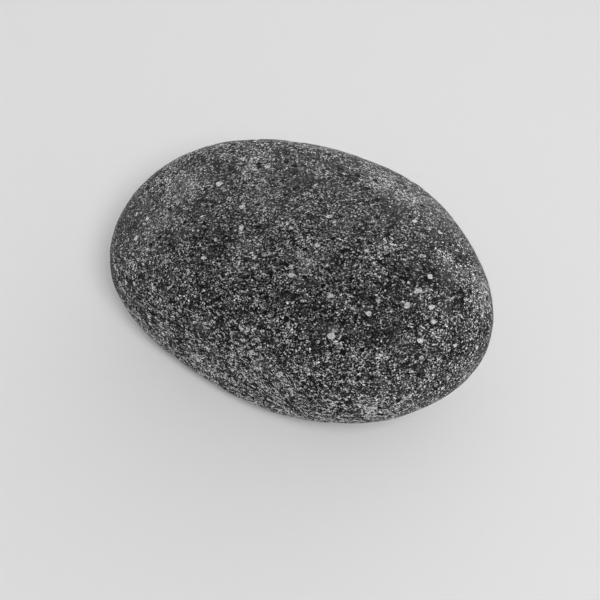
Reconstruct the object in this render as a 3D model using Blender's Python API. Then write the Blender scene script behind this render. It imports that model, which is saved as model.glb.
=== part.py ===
"""A river pebble: one water-worn stone, resting on the level flat worn under it.

The stone is an oval body whose sides, crown and underside have been ground towards flats
by the river bed.  The flats run into each other over broad rounded shoulders, so no edge
is left.  Metres, +Z up.  +X runs along the length, and the origin is under the middle of
the stone, on the surface that it rests on.
"""

from math import cos, pi, radians, sin, tan

import bmesh
import bpy
from mathutils import Matrix, Vector

# The finished stone.
LENGTH = 0.0935
WIDTH = 0.0625
HEIGHT = 0.0401

# The oval body that the flats are worn into: half its length and width, and how far it
# reaches above and below its widest level.
OVAL_HALF_LENGTH = 0.0529
OVAL_HALF_WIDTH = 0.0396
OVAL_RISE = 0.0220
OVAL_DROP = 0.0440

# Each worn flat: the way it faces round the stone (degrees from +X towards +Y), how far
# up it looks (degrees), and its distance from the middle of the oval body (metres).
WORN_FLATS = {
    "back right shoulder": (51, 1, 0.0385),
    "back side": (106, 7, 0.0332),
    "back left shoulder": (134, 3, 0.0411),
    "front side": (267, 8, 0.0286),
    "front right side": (282, -7, 0.0445),
    "right end": (351, -3, 0.0486),
    "crown": (130, 80, 0.0225),
    "left slope": (200, 50, 0.0345),
    "right slope": (340, 42, 0.0375),
    "back slope": (75, 52, 0.0295),
    "front slope": (280, 48, 0.0305),
    "underside": (60, -89, 0.0196),
    "right undercut": (32, -42, 0.0394),
    "back undercut": (85, -48, 0.0285),
    "left undercut": (142, -42, 0.0426),
    "front undercut": (315, -40, 0.0341),
}

# How tightly the flats turn into each other: a higher power makes a tighter shoulder.
SHOULDER_POWER = 8

# How much of the lowest bulge is rubbed away to make the flat that the stone rests on.
REST_FLAT_DEPTH = 0.0005

# Points of the skin this close to the cut are moved onto it, so no sliver is left.
SNAP_DISTANCE = 0.0001

# Faces along each side of the cube whose grid is spread over the stone.
GRID_FACES = 26

STONE_COLOUR = (0.095, 0.094, 0.092, 1.0)
STONE_ROUGHNESS = 0.62


def facing(round_angle, up_angle):
    """Unit vector that faces round_angle degrees round the stone and up_angle up."""
    turn = radians(round_angle)
    lift = radians(up_angle)
    return Vector((cos(turn) * cos(lift), sin(turn) * cos(lift), sin(lift)))


def skin_point(way):
    """Point where a ray from the middle of the oval body leaves the worn stone.

    The oval body and each flat would stop the ray at some distance.  Adding the powers of
    the inverse distances gives the nearest of them, rounded off where two are alike.
    """
    oval_depth = OVAL_RISE if way.z > 0 else OVAL_DROP
    on_oval = Vector((way.x / OVAL_HALF_LENGTH, way.y / OVAL_HALF_WIDTH, way.z / oval_depth))
    stopping = on_oval.length**SHOULDER_POWER
    for round_angle, up_angle, distance in WORN_FLATS.values():
        towards_flat = way.dot(facing(round_angle, up_angle))
        if towards_flat > 0:
            stopping += (towards_flat / distance) ** SHOULDER_POWER
    return way * stopping ** (-1 / SHOULDER_POWER)


def spread_grid(shape):
    """A cube's grid, spread evenly round the stone and laid on its worn skin."""
    bmesh.ops.create_cube(shape, size=2.0)
    bmesh.ops.subdivide_edges(shape, edges=shape.edges[:], cuts=GRID_FACES - 1, use_grid_fill=True)
    for vert in shape.verts:
        evened = (tan(vert.co[axis] * pi / 4) for axis in range(3))
        on_ball = Vector(evened).normalized()
        way = Vector((on_ball.x * LENGTH, on_ball.y * WIDTH, on_ball.z * HEIGHT)).normalized()
        vert.co = skin_point(way)


def rub_rest_flat(shape):
    """Cut the lowest bulge off level and close the cut with one flat face."""
    level = min(vert.co.z for vert in shape.verts) + REST_FLAT_DEPTH
    cut = bmesh.ops.bisect_plane(
        shape,
        geom=shape.verts[:] + shape.edges[:] + shape.faces[:],
        dist=SNAP_DISTANCE,
        plane_co=(0, 0, level),
        plane_no=(0, 0, -1),
        clear_outer=True,
    )
    rim = [item for item in cut["geom_cut"] if isinstance(item, bmesh.types.BMEdge)]
    for edge in rim:
        for vert in edge.verts:
            vert.co.z = level
    bmesh.ops.contextual_create(shape, geom=rim)


def bring_to_size(shape):
    """Scale the stone to its finished size and stand it on the origin."""
    low = Vector(min(vert.co[axis] for vert in shape.verts) for axis in range(3))
    high = Vector(max(vert.co[axis] for vert in shape.verts) for axis in range(3))
    size = high - low
    foot = Vector(((low.x + high.x) / 2, (low.y + high.y) / 2, low.z))
    growth = Matrix.Diagonal((LENGTH / size.x, WIDTH / size.y, HEIGHT / size.z, 1.0))
    bmesh.ops.translate(shape, verts=shape.verts[:], vec=-foot)
    bmesh.ops.transform(shape, verts=shape.verts[:], matrix=growth)


def stone_material():
    """Dark speckled rock, dry and matt."""
    material = bpy.data.materials.new("dark_speckled_stone")
    material.use_nodes = True
    shader = material.node_tree.nodes["Principled BSDF"]
    shader.inputs["Base Color"].default_value = STONE_COLOUR
    shader.inputs["Roughness"].default_value = STONE_ROUGHNESS
    shader.inputs["Metallic"].default_value = 0.0
    return material


def make_pebble():
    """The one solid stone."""
    shape = bmesh.new()
    spread_grid(shape)
    rub_rest_flat(shape)
    bring_to_size(shape)
    bmesh.ops.recalc_face_normals(shape, faces=shape.faces[:])
    mesh = bpy.data.meshes.new("pebble")
    shape.to_mesh(mesh)
    shape.free()
    mesh.shade_smooth()
    mesh.materials.append(stone_material())
    pebble = bpy.data.objects.new("pebble", mesh)
    bpy.context.collection.objects.link(pebble)


for old in list(bpy.data.objects):
    bpy.data.objects.remove(old, do_unlink=True)

make_pebble()
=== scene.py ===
from math import cos, exp, radians, sin

import bpy
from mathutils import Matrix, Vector


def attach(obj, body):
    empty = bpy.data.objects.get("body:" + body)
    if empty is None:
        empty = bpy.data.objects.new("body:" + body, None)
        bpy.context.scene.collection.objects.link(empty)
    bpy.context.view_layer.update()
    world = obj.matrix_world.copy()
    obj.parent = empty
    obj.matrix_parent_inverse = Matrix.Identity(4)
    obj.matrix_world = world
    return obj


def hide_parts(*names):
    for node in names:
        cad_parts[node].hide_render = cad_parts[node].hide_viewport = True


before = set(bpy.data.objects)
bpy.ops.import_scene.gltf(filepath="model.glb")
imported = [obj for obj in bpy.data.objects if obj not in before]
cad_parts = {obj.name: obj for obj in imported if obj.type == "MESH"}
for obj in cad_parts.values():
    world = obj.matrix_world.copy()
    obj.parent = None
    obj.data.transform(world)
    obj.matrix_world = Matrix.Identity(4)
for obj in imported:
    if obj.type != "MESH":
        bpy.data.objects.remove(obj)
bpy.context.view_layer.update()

# ---------------------------------------------------------------------------------------
# The camera: it looks steeply down on the stone from its front right, through a long lens
# from a third of a metre away.
# ---------------------------------------------------------------------------------------

CAMERA_AROUND = radians(-60.3)
CAMERA_UP = radians(60.0)
CAMERA_DISTANCE = 0.34
CAMERA_NEAREST = 0.01
AIM = Vector((0.00369, -0.00866, 0.0194))
FOCAL_PIXELS = 1476.0
FRAME_PIXELS = 600.0
SENSOR_WIDTH = 36.0


def facing(around, up):
    """Unit vector turned by one angle from +X towards +Y, and raised by the other."""
    return Vector((cos(around) * cos(up), sin(around) * cos(up), sin(up)))


towards_camera = facing(CAMERA_AROUND, CAMERA_UP)
camera_data = bpy.data.cameras.new("camera")
camera_data.sensor_width = SENSOR_WIDTH
camera_data.lens = FOCAL_PIXELS / FRAME_PIXELS * SENSOR_WIDTH
camera_data.clip_start = CAMERA_NEAREST
camera = bpy.data.objects.new("camera", camera_data)
camera.location = AIM + towards_camera * CAMERA_DISTANCE
camera.rotation_euler = (-towards_camera).to_track_quat("-Z", "Y").to_euler()
bpy.context.scene.collection.objects.link(camera)
bpy.context.scene.camera = camera
bpy.context.scene.view_settings.view_transform = "Standard"

# ---------------------------------------------------------------------------------------
# The table: a sheet of matt white card that lies level under the stone.  It is far wider
# than the view, so none of its edges shows.
# ---------------------------------------------------------------------------------------

TABLE_SIZE = 6.0
CARD_ALBEDO = 0.80
CARD_ROUGHNESS = 0.9

bpy.ops.object.select_all(action="DESELECT")
bpy.ops.mesh.primitive_plane_add(size=TABLE_SIZE, location=(0.0, 0.0, 0.0))
table = bpy.context.object
table.name = "table"
card = bpy.data.materials.new("white_card")
card.use_nodes = True
card_shader = card.node_tree.nodes["Principled BSDF"]
card_shader.inputs["Base Color"].default_value = (CARD_ALBEDO, CARD_ALBEDO, CARD_ALBEDO, 1.0)
card_shader.inputs["Roughness"].default_value = CARD_ROUGHNESS
card_shader.inputs["Specular IOR Level"].default_value = 0.0
table.data.materials.append(card)

# ---------------------------------------------------------------------------------------
# The light: a dim ceiling, bright pale walls all round that are brightest beyond the stone,
# and one soft round lamp above the camera's right.
# ---------------------------------------------------------------------------------------

# Brightness of the ceiling, what the walls add to it on average, and how much more than
# that they add on their bright side and how much less on the opposite one.
CEILING_BRIGHTNESS = 0.28
WALL_BRIGHTNESS = 6.8
WALL_SIDE_GAIN = 5.2
WALL_BRIGHT_SIDE = radians(96.0)

# Height, as the sine of the angle up, where the walls start to fade and have faded out.
WALL_FADE_START = 0.16
WALL_FADE_END = 0.28

LAMP_AROUND = radians(328.0)
LAMP_UP = radians(60.0)
LAMP_DISTANCE = 1.0
LAMP_SIZE = 0.4
LAMP_POWER = 4.1

room = bpy.data.worlds.new("pale_room")
room.use_nodes = True
room_tree = room.node_tree
room_light = room_tree.nodes["Background"]
room_light.inputs["Color"].default_value = (1.0, 1.0, 1.0, 1.0)
direction = room_tree.nodes.new("ShaderNodeTexCoord")
height = room_tree.nodes.new("ShaderNodeSeparateXYZ")
room_tree.links.new(direction.outputs["Generated"], height.inputs["Vector"])
wall_part = room_tree.nodes.new("ShaderNodeMapRange")
wall_part.interpolation_type = "SMOOTHSTEP"
wall_part.inputs["From Min"].default_value = WALL_FADE_START
wall_part.inputs["From Max"].default_value = WALL_FADE_END
wall_part.inputs["To Min"].default_value = 1.0
wall_part.inputs["To Max"].default_value = 0.0
room_tree.links.new(height.outputs["Z"], wall_part.inputs["Value"])
side = room_tree.nodes.new("ShaderNodeVectorMath")
side.operation = "DOT_PRODUCT"
side.inputs[1].default_value = facing(WALL_BRIGHT_SIDE, 0.0)
room_tree.links.new(direction.outputs["Generated"], side.inputs[0])
wall = room_tree.nodes.new("ShaderNodeMath")
wall.operation = "MULTIPLY_ADD"
wall.inputs[1].default_value = WALL_SIDE_GAIN
wall.inputs[2].default_value = WALL_BRIGHTNESS
room_tree.links.new(side.outputs["Value"], wall.inputs[0])
brightness = room_tree.nodes.new("ShaderNodeMath")
brightness.operation = "MULTIPLY_ADD"
brightness.inputs[2].default_value = CEILING_BRIGHTNESS
room_tree.links.new(wall.outputs["Value"], brightness.inputs[0])
room_tree.links.new(wall_part.outputs["Result"], brightness.inputs[1])
room_tree.links.new(brightness.outputs["Value"], room_light.inputs["Strength"])
bpy.context.scene.world = room

towards_lamp = facing(LAMP_AROUND, LAMP_UP)
lamp_light = bpy.data.lights.new("lamp", "AREA")
lamp_light.shape = "DISK"
lamp_light.size = LAMP_SIZE
lamp_light.energy = LAMP_POWER
lamp = bpy.data.objects.new("lamp", lamp_light)
lamp.location = towards_lamp * LAMP_DISTANCE
lamp.rotation_euler = (-towards_lamp).to_track_quat("-Z", "Y").to_euler()
bpy.context.scene.collection.objects.link(lamp)

# ---------------------------------------------------------------------------------------
# The pebble: one dry, water-worn stone of dark igneous rock, a mosaic of black, grey and
# white mineral grains 0.2 to 1 mm across.  A river has ground it smooth all round, and it
# lies loose on the flat worn under it.
# ---------------------------------------------------------------------------------------

# The skin starts as a copy of the CAD stone.  Here and below, lengths are in metres.
MERGE_DISTANCE = 0.00001
QUAD_LIMIT = radians(40.0)
SMOOTHING_LEVELS = 2

cad_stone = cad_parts["pebble"]
stone = bpy.data.objects.new("pebble_skin", cad_stone.data.copy())
bpy.context.scene.collection.objects.link(stone)
bpy.ops.object.select_all(action="DESELECT")
stone.select_set(True)
bpy.context.view_layer.objects.active = stone
bpy.ops.mesh.customdata_custom_splitnormals_clear()
bpy.ops.object.mode_set(mode="EDIT")
bpy.ops.mesh.select_all(action="SELECT")
bpy.ops.mesh.remove_doubles(threshold=MERGE_DISTANCE)
bpy.ops.mesh.tris_convert_to_quads(face_threshold=QUAD_LIMIT, shape_threshold=QUAD_LIMIT)
bpy.ops.object.mode_set(mode="OBJECT")
bpy.ops.object.shade_smooth()

smoother = stone.modifiers.new("smoother", "SUBSURF")
smoother.levels = SMOOTHING_LEVELS
smoother.render_levels = SMOOTHING_LEVELS
bpy.ops.object.modifier_apply(modifier=smoother.name)

# The skin is uneven everywhere but on the flat that it rests on, and the unevenness sets in
# over the first REST_FLAT_EDGE above it.  Each kind has the size of one bump and its height
# from the hollows to the crests.
REST_FLAT_EDGE = 0.0006
RELIEF_DETAIL = 1
RELIEF_MIDDLE = 0.5
UNEVENNESS = {
    "broad wear": (0.0090, 0.00030),
    "dimples": (0.0032, 0.00016),
    "rough grain": (0.0012, 0.00010),
}

free_skin = stone.vertex_groups.new(name="free_skin")
for vertex in stone.data.vertices:
    freedom = min(1.0, vertex.co.z / REST_FLAT_EDGE)
    free_skin.add([vertex.index], freedom, "REPLACE")
for unevenness_name, (bump_size, bump_height) in UNEVENNESS.items():
    relief = bpy.data.textures.new(unevenness_name, "CLOUDS")
    relief.noise_scale = bump_size
    relief.noise_depth = RELIEF_DETAIL
    wear = stone.modifiers.new(unevenness_name, "DISPLACE")
    wear.texture = relief
    wear.texture_coords = "LOCAL"
    wear.direction = "NORMAL"
    wear.mid_level = RELIEF_MIDDLE
    wear.strength = bump_height
    wear.vertex_group = "free_skin"
    bpy.ops.object.modifier_apply(modifier=wear.name)
stone.vertex_groups.clear()

# The rock is patchy, and its pale and dark patches also carry painted light and shade: each
# is paler or darker partly from the rock's own tone, partly from how light falls on the
# shape
# there.  Each patch: the way it faces from the stone's middle (degrees round from +X towards
# +Y, and degrees up), how far it spreads over the skin, and its strength.  A patch ends at
# PATCH_REACH spreads.
PATCH_MIDDLE = Vector((0.0, 0.0, 0.0200))
PATCH_REACH = 3.0
PATCHES = {
    # Paler: partly weathered rock, partly painted light.
    "paler_tone_and_painted_light": {
        "left shoulder": (185, 25, 0.0040, 0.8),
        "left end": (200, 20, 0.0032, 0.7),
        "front left end": (210, 15, 0.0030, 0.6),
        "back left slope": (155, 40, 0.0032, 0.7),
        "back left end": (155, 20, 0.0060, 0.35),
        "left of the crown": (180, 60, 0.0040, 0.8),
        "front left of the crown": (240, 50, 0.0028, 0.7),
        "front of the crown": (300, 60, 0.0026, 0.9),
        "right of the crown": (15, 65, 0.0026, 0.5),
        "back slope": (65, 35, 0.0036, 1.0),
        "back right slope": (50, 25, 0.0034, 1.0),
        "right slope": (10, 25, 0.0028, 0.8),
        "right end": (12, 12, 0.0036, 1.1),
        "front right end": (330, 5, 0.0036, 0.9),
        "front right shoulder": (320, 5, 0.0038, 1.0),
        "front foot": (290, 5, 0.0030, 0.5),
        "front side": (250, 10, 0.0028, 0.6),
    },
    # Darker: partly richer in dark minerals, partly painted shade.
    "darker_tone_and_painted_shade": {
        "left slope": (170, 35, 0.0034, 0.6),
        "left end": (200, 5, 0.0070, 0.35),
        "front left foot": (215, -5, 0.0055, 0.5),
        "front left edge": (235, 10, 0.0034, 0.7),
        "front left slope": (225, 40, 0.0040, 0.45),
        "front side": (245, 20, 0.0048, 0.6),
        "front slope": (260, 40, 0.0036, 0.5),
        "front right slope": (305, 28, 0.0034, 0.5),
        "right slope": (330, 30, 0.0044, 0.5),
        "right of the crown": (350, 35, 0.0040, 0.4),
        "right shoulder": (5, 25, 0.0034, 0.8),
        "back right slope": (30, 40, 0.0026, 0.35),
        "back right shoulder": (20, 22, 0.0034, 0.6),
        "right end": (5, 5, 0.0080, 0.25),
        "front right end": (335, 5, 0.0070, 0.25),
    },
    # Under a thin grey film of weathering, which softens the speckle.
    "film_patch": {
        "left end": (200, 10, 0.0110, 0.24),
        "left slope": (160, 35, 0.0110, 0.12),
        "back slope": (105, 45, 0.0120, 0.10),
        "back right slope": (40, 25, 0.0110, 0.20),
        "back right side": (30, -10, 0.0150, 0.22),
        "back side": (80, -15, 0.0180, 0.26),
        "back left side": (140, -15, 0.0160, 0.26),
    },
}

for layer_name, patches in PATCHES.items():
    centres = []
    for around, up, spread, strength in patches.values():
        centres.append((facing(radians(around), radians(up)), spread, strength))
    layer = stone.data.attributes.new(layer_name, "FLOAT", "POINT")
    for vertex in stone.data.vertices:
        outwards = vertex.co - PATCH_MIDDLE
        cover = 0.0
        for way, spread, strength in centres:
            away = (outwards - way * outwards.length).length / spread
            if away < PATCH_REACH:
                cover += strength * exp(-away * away)
        layer.data[vertex.index].value = cover

# The steep sides, most of all the front one, show coarser grains and a darker speckle:
# partly the rock's own grain, partly painted shade of pits and flanks.  Along the front,
# where the skin turns under the stone, runs a paler rim that is painted light: the light
# that the white card throws back up onto that edge.  A tilt is the upward part of the skin's
# outward
# direction: 1 where the skin lies level, 0 where it stands upright, and less where it turns
# under.
FRONT_SIDE = radians(265.0)
OTHER_SIDES_SHARE = 0.3
CROWN_TILT = 0.85
SIDE_TILT = 0.35
BOUNCE_LIGHT_RIM_TOP_TILT = 0.20
BOUNCE_LIGHT_RIM_LOW_TILT = -0.30

front_way = facing(FRONT_SIDE, 0.0)
stone.data.attributes.new("side_grain_and_painted_shade", "FLOAT", "POINT")
stone.data.attributes.new("painted_bounce_light_rim", "FLOAT", "POINT")
side_grain_and_shade_layer = stone.data.attributes["side_grain_and_painted_shade"]
bounce_light_rim_layer = stone.data.attributes["painted_bounce_light_rim"]
for vertex in stone.data.vertices:
    faces_front = max(0.0, vertex.normal.dot(front_way))
    steepness = (CROWN_TILT - abs(vertex.normal.z)) / (CROWN_TILT - SIDE_TILT)
    coarseness = OTHER_SIDES_SHARE + (1.0 - OTHER_SIDES_SHARE) * faces_front
    side_grain_and_shade_layer.data[vertex.index].value = min(1.0, max(0.0, steepness)) * coarseness
    turned_under = (BOUNCE_LIGHT_RIM_TOP_TILT - vertex.normal.z) / (BOUNCE_LIGHT_RIM_TOP_TILT - BOUNCE_LIGHT_RIM_LOW_TILT)
    bounce_light_rim_layer.data[vertex.index].value = min(1.0, max(0.0, turned_under)) * faces_front

# The rock itself: dry and matt.  Albedo runs from 0 for black to 1 for white.  The patterns
# below draw values from 0 to 1, and CLOUD_ROUGHNESS is how strong the finer lumps are.
ROCK_ROUGHNESS = 0.65
ROCK_SHINE = 0.03
CLOUD_ROUGHNESS = 0.6
MIDDLE_DRAW = 0.5

stone.data.materials.clear()
rock = bpy.data.materials.new("speckled_rock")
rock.use_nodes = True
rock_tree = rock.node_tree
rock_shader = rock_tree.nodes["Principled BSDF"]
rock_shader.inputs["Roughness"].default_value = ROCK_ROUGHNESS
rock_shader.inputs["Specular IOR Level"].default_value = ROCK_SHINE


def feed(socket, source):
    """Link a node's output to a socket, or set the socket to a plain value."""
    if isinstance(source, bpy.types.NodeSocket):
        rock_tree.links.new(source, socket)
    else:
        socket.default_value = source


def combine(operation, *sources):
    """One step of arithmetic on single values."""
    step = rock_tree.nodes.new("ShaderNodeMath")
    step.operation = operation
    for socket, source in zip(step.inputs, sources):
        feed(socket, source)
    return step.outputs["Value"]


def cells(size, where):
    """Distance to the nearest grain's middle, in grain sizes, and that grain's own draw."""
    pattern = rock_tree.nodes.new("ShaderNodeTexVoronoi")
    pattern.inputs["Scale"].default_value = 1.0 / size
    feed(pattern.inputs["Vector"], where)
    drawn = rock_tree.nodes.new("ShaderNodeSeparateColor")
    feed(drawn.inputs["Color"], pattern.outputs["Color"])
    return pattern.outputs["Distance"], drawn.outputs["Red"]


def clouds(size, detail, where):
    """A cloudy pattern whose lumps are about the given size across."""
    pattern = rock_tree.nodes.new("ShaderNodeTexNoise")
    pattern.inputs["Scale"].default_value = 1.0 / size
    pattern.inputs["Detail"].default_value = detail
    pattern.inputs["Roughness"].default_value = CLOUD_ROUGHNESS
    feed(pattern.inputs["Vector"], where)
    return pattern


def on_skin(layer_name):
    """What one of the skin's layers says at each spot."""
    reader = rock_tree.nodes.new("ShaderNodeAttribute")
    reader.attribute_name = layer_name
    return reader.outputs["Fac"]


def lay_over(share, below, above):
    """Lay one albedo over another, by the share that it covers."""
    mix = rock_tree.nodes.new("ShaderNodeMix")
    feed(mix.inputs["Factor"], share)
    feed(mix.inputs["A"], below)
    feed(mix.inputs["B"], above)
    return mix.outputs["Result"]


# The grains lie a little stretched along a faint banding that crosses the stone, and their
# edges are pushed about, within PUSH_WIDTH, so that they aren't straight.
BANDING_AROUND = radians(30.0)
BANDING_STRETCH = 1.2
PUSH_SIZE = 0.0009
PUSH_DETAIL = 1.0
PUSH_WIDTH = 0.0004

place = rock_tree.nodes.new("ShaderNodeTexCoord")
lie = rock_tree.nodes.new("ShaderNodeMapping")
lie.vector_type = "TEXTURE"
lie.inputs["Rotation"].default_value = (0.0, 0.0, BANDING_AROUND)
lie.inputs["Scale"].default_value = (BANDING_STRETCH, 1.0, 1.0)
feed(lie.inputs["Vector"], place.outputs["Object"])
banded = lie.outputs["Vector"]
push = rock_tree.nodes.new("ShaderNodeVectorMath")
push.operation = "SUBTRACT"
push.inputs[1].default_value = (MIDDLE_DRAW, MIDDLE_DRAW, MIDDLE_DRAW)
feed(push.inputs[0], clouds(PUSH_SIZE, PUSH_DETAIL, banded).outputs["Color"])
warp = rock_tree.nodes.new("ShaderNodeVectorMath")
warp.operation = "MULTIPLY_ADD"
warp.inputs[1].default_value = (PUSH_WIDTH, PUSH_WIDTH, PUSH_WIDTH)
feed(warp.inputs[0], push.outputs["Vector"])
feed(warp.inputs[2], banded)
warped = warp.outputs["Vector"]

# What mineral each spot has is a sum: streaks, and grains of three sizes.  Each has the
# size of its lumps or grains, and its share in the sum.
STREAK_SIZE = 0.0050
STREAK_DETAIL = 4.0
STREAK_SHARE = 0.38
COARSE_GRAIN_SIZE = 0.0009
COARSE_GRAIN_SHARE = 0.09
CLUMP_SIZE = 0.00040
CLUMP_SHARE = 0.26
GRAIN_SIZE = 0.00020
GRAIN_SHARE = 0.54

_, coarse_draw = cells(COARSE_GRAIN_SIZE, warped)
_, clump_draw = cells(CLUMP_SIZE, warped)
_, grain_draw = cells(GRAIN_SIZE, warped)
streaks = clouds(STREAK_SIZE, STREAK_DETAIL, banded)
mineral = combine("MULTIPLY", streaks.outputs["Fac"], STREAK_SHARE)
mineral = combine("MULTIPLY_ADD", coarse_draw, COARSE_GRAIN_SHARE, mineral)
mineral = combine("MULTIPLY_ADD", clump_draw, CLUMP_SHARE, mineral)
mineral = combine("MULTIPLY_ADD", grain_draw, GRAIN_SHARE, mineral)

# On the sides, medium grains come to it, and dark and pale stand further apart: the sum
# moves away from MIDDLE_MINERAL by the share SIDE_CONTRAST.
# MIDDLE_MINERAL lies above the sum's usual value, so the sides also come out darker overall:
# painted shade.
SIDE_GRAIN_SIZE = 0.00062
SIDE_GRAIN_SHARE = 0.34
SIDE_CONTRAST = 0.16
MIDDLE_MINERAL = 0.88

side_grain_and_painted_shade = on_skin("side_grain_and_painted_shade")
_, side_draw = cells(SIDE_GRAIN_SIZE, warped)
side_shift = combine("SUBTRACT", side_draw, MIDDLE_DRAW)
side_shift = combine("MULTIPLY", side_shift, side_grain_and_painted_shade)
mineral = combine("MULTIPLY_ADD", side_shift, SIDE_GRAIN_SHARE, mineral)
deviation = combine("SUBTRACT", mineral, MIDDLE_MINERAL)
deviation = combine("MULTIPLY", deviation, side_grain_and_painted_shade)
mineral = combine("MULTIPLY_ADD", deviation, SIDE_CONTRAST, mineral)

# The patches, partly painted light and shade, and the rim of painted bounce light shift the
# sum.  It then gives the albedo, from black to white minerals: each row is a sum and its
# albedo.  Where the skin is paler, partly painted light, its grains also fade a little.
PATCH_SHIFT = 0.13
BOUNCE_LIGHT_RIM_SHIFT = 0.11
MINERAL_ALBEDO = (
    (0.443, 0.003),
    (0.566, 0.009),
    (0.666, 0.021),
    (0.748, 0.068),
    (0.826, 0.188),
    (0.903, 0.400),
    (0.964, 0.620),
)
FADE_ALBEDO = 0.12
FADE_COVER = 0.2

paler_tone_and_painted_light = on_skin("paler_tone_and_painted_light")
balance = combine("SUBTRACT", paler_tone_and_painted_light, on_skin("darker_tone_and_painted_shade"))
mineral = combine("MULTIPLY_ADD", balance, PATCH_SHIFT, mineral)
mineral = combine("MULTIPLY_ADD", on_skin("painted_bounce_light_rim"), BOUNCE_LIGHT_RIM_SHIFT, mineral)
mineral_ramp = rock_tree.nodes.new("ShaderNodeValToRGB")
stops = mineral_ramp.color_ramp.elements
stops.remove(stops[-1])
for position, albedo in MINERAL_ALBEDO:
    stops.new(position).color = (albedo, albedo, albedo, 1.0)
stops.remove(stops[0])
feed(mineral_ramp.inputs["Fac"], mineral)
fade_over_pale_tone = combine("MULTIPLY", paler_tone_and_painted_light, FADE_COVER)
rock_albedo = lay_over(fade_over_pale_tone, mineral_ramp.outputs["Color"], FADE_ALBEDO)

# Some grains stand alone.  Each kind: how far apart its seeds are, the draw above which a
# seed grows, how much of the draw beyond that it grows by, in seed spacings, and its albedo.
# The first kinds lie under the film of weathering below, and the others are clean of it.
FILMED_GRAINS = {
    "pale crystals": (0.0026, 0.68, 0.62, 0.30),
    "pale specks": (0.0011, 0.66, 0.75, 0.42),
    "fine specks": (0.0008, 0.70, 0.90, 0.60),
}
CLEAN_GRAINS = {
    "dark clots": (0.0017, 0.55, 0.75, 0.006),
    "dark specks": (0.0009, 0.62, 0.80, 0.004),
    "large crystals": (0.0023, 0.73, 1.15, 0.42),
}

# How far a lone grain's edge is chipped and how softly it ends, both in seed spacings.
CHIPPING = 0.12
EDGE_SOFTNESS = 0.035


def strew(kinds, ground):
    """Lay every kind of lone grain over the ground."""
    for spacing, rarity, growth, albedo in kinds.values():
        away, draw = cells(spacing, warped)
        reach = combine("MULTIPLY", combine("SUBTRACT", draw, rarity), growth)
        chipped = combine("MULTIPLY_ADD", clump_draw, CHIPPING, reach)
        inside = combine("SUBTRACT", chipped, combine("ADD", away, CHIPPING / 2))
        edge = rock_tree.nodes.new("ShaderNodeMapRange")
        edge.interpolation_type = "SMOOTHSTEP"
        edge.inputs["From Min"].default_value = -EDGE_SOFTNESS
        edge.inputs["From Max"].default_value = EDGE_SOFTNESS
        feed(edge.inputs["Value"], inside)
        mottled = combine("MULTIPLY", combine("ADD", grain_draw, MIDDLE_DRAW), albedo)
        ground = lay_over(edge.outputs["Result"], ground, mottled)
    return ground


# A thin grey film of weathering lies on its patches, and in thin clouds all round.  Its
# clouds start at one value of their pattern and are full, at FILM_SHARE, at another.
FILM_SIZE = 0.0035
FILM_DETAIL = 2.0
FILM_START = 0.50
FILM_FULL = 0.75
FILM_SHARE = 0.45
FILM_ALBEDO = 0.050

rock_albedo = strew(FILMED_GRAINS, rock_albedo)
haze = rock_tree.nodes.new("ShaderNodeMapRange")
haze.inputs["From Min"].default_value = FILM_START
haze.inputs["From Max"].default_value = FILM_FULL
haze.inputs["To Max"].default_value = FILM_SHARE
feed(haze.inputs["Value"], clouds(FILM_SIZE, FILM_DETAIL, banded).outputs["Fac"])
film = combine("ADD", on_skin("film_patch"), haze.outputs["Result"])
rock_albedo = lay_over(film, rock_albedo, FILM_ALBEDO)
rock_albedo = strew(CLEAN_GRAINS, rock_albedo)
feed(rock_shader.inputs["Base Color"], rock_albedo)

# Fine pits, and grains that stand a little higher the paler they are: how large the pits
# are, how sharply they show, how deep they are, and the grains' share beside the pits'.
PIT_SIZE = 0.0006
PIT_DETAIL = 3.0
PIT_SHARPNESS = 0.6
PIT_DEPTH = 0.00005
GRAIN_RELIEF = 0.35

pits = clouds(PIT_SIZE, PIT_DETAIL, banded)
pitting = rock_tree.nodes.new("ShaderNodeBump")
pitting.inputs["Strength"].default_value = PIT_SHARPNESS
pitting.inputs["Distance"].default_value = PIT_DEPTH
pit_height = combine("MULTIPLY_ADD", grain_draw, GRAIN_RELIEF, pits.outputs["Fac"])
feed(pitting.inputs["Height"], pit_height)
feed(rock_shader.inputs["Normal"], pitting.outputs["Normal"])
stone.data.materials.append(rock)

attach(stone, "root")
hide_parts("pebble")
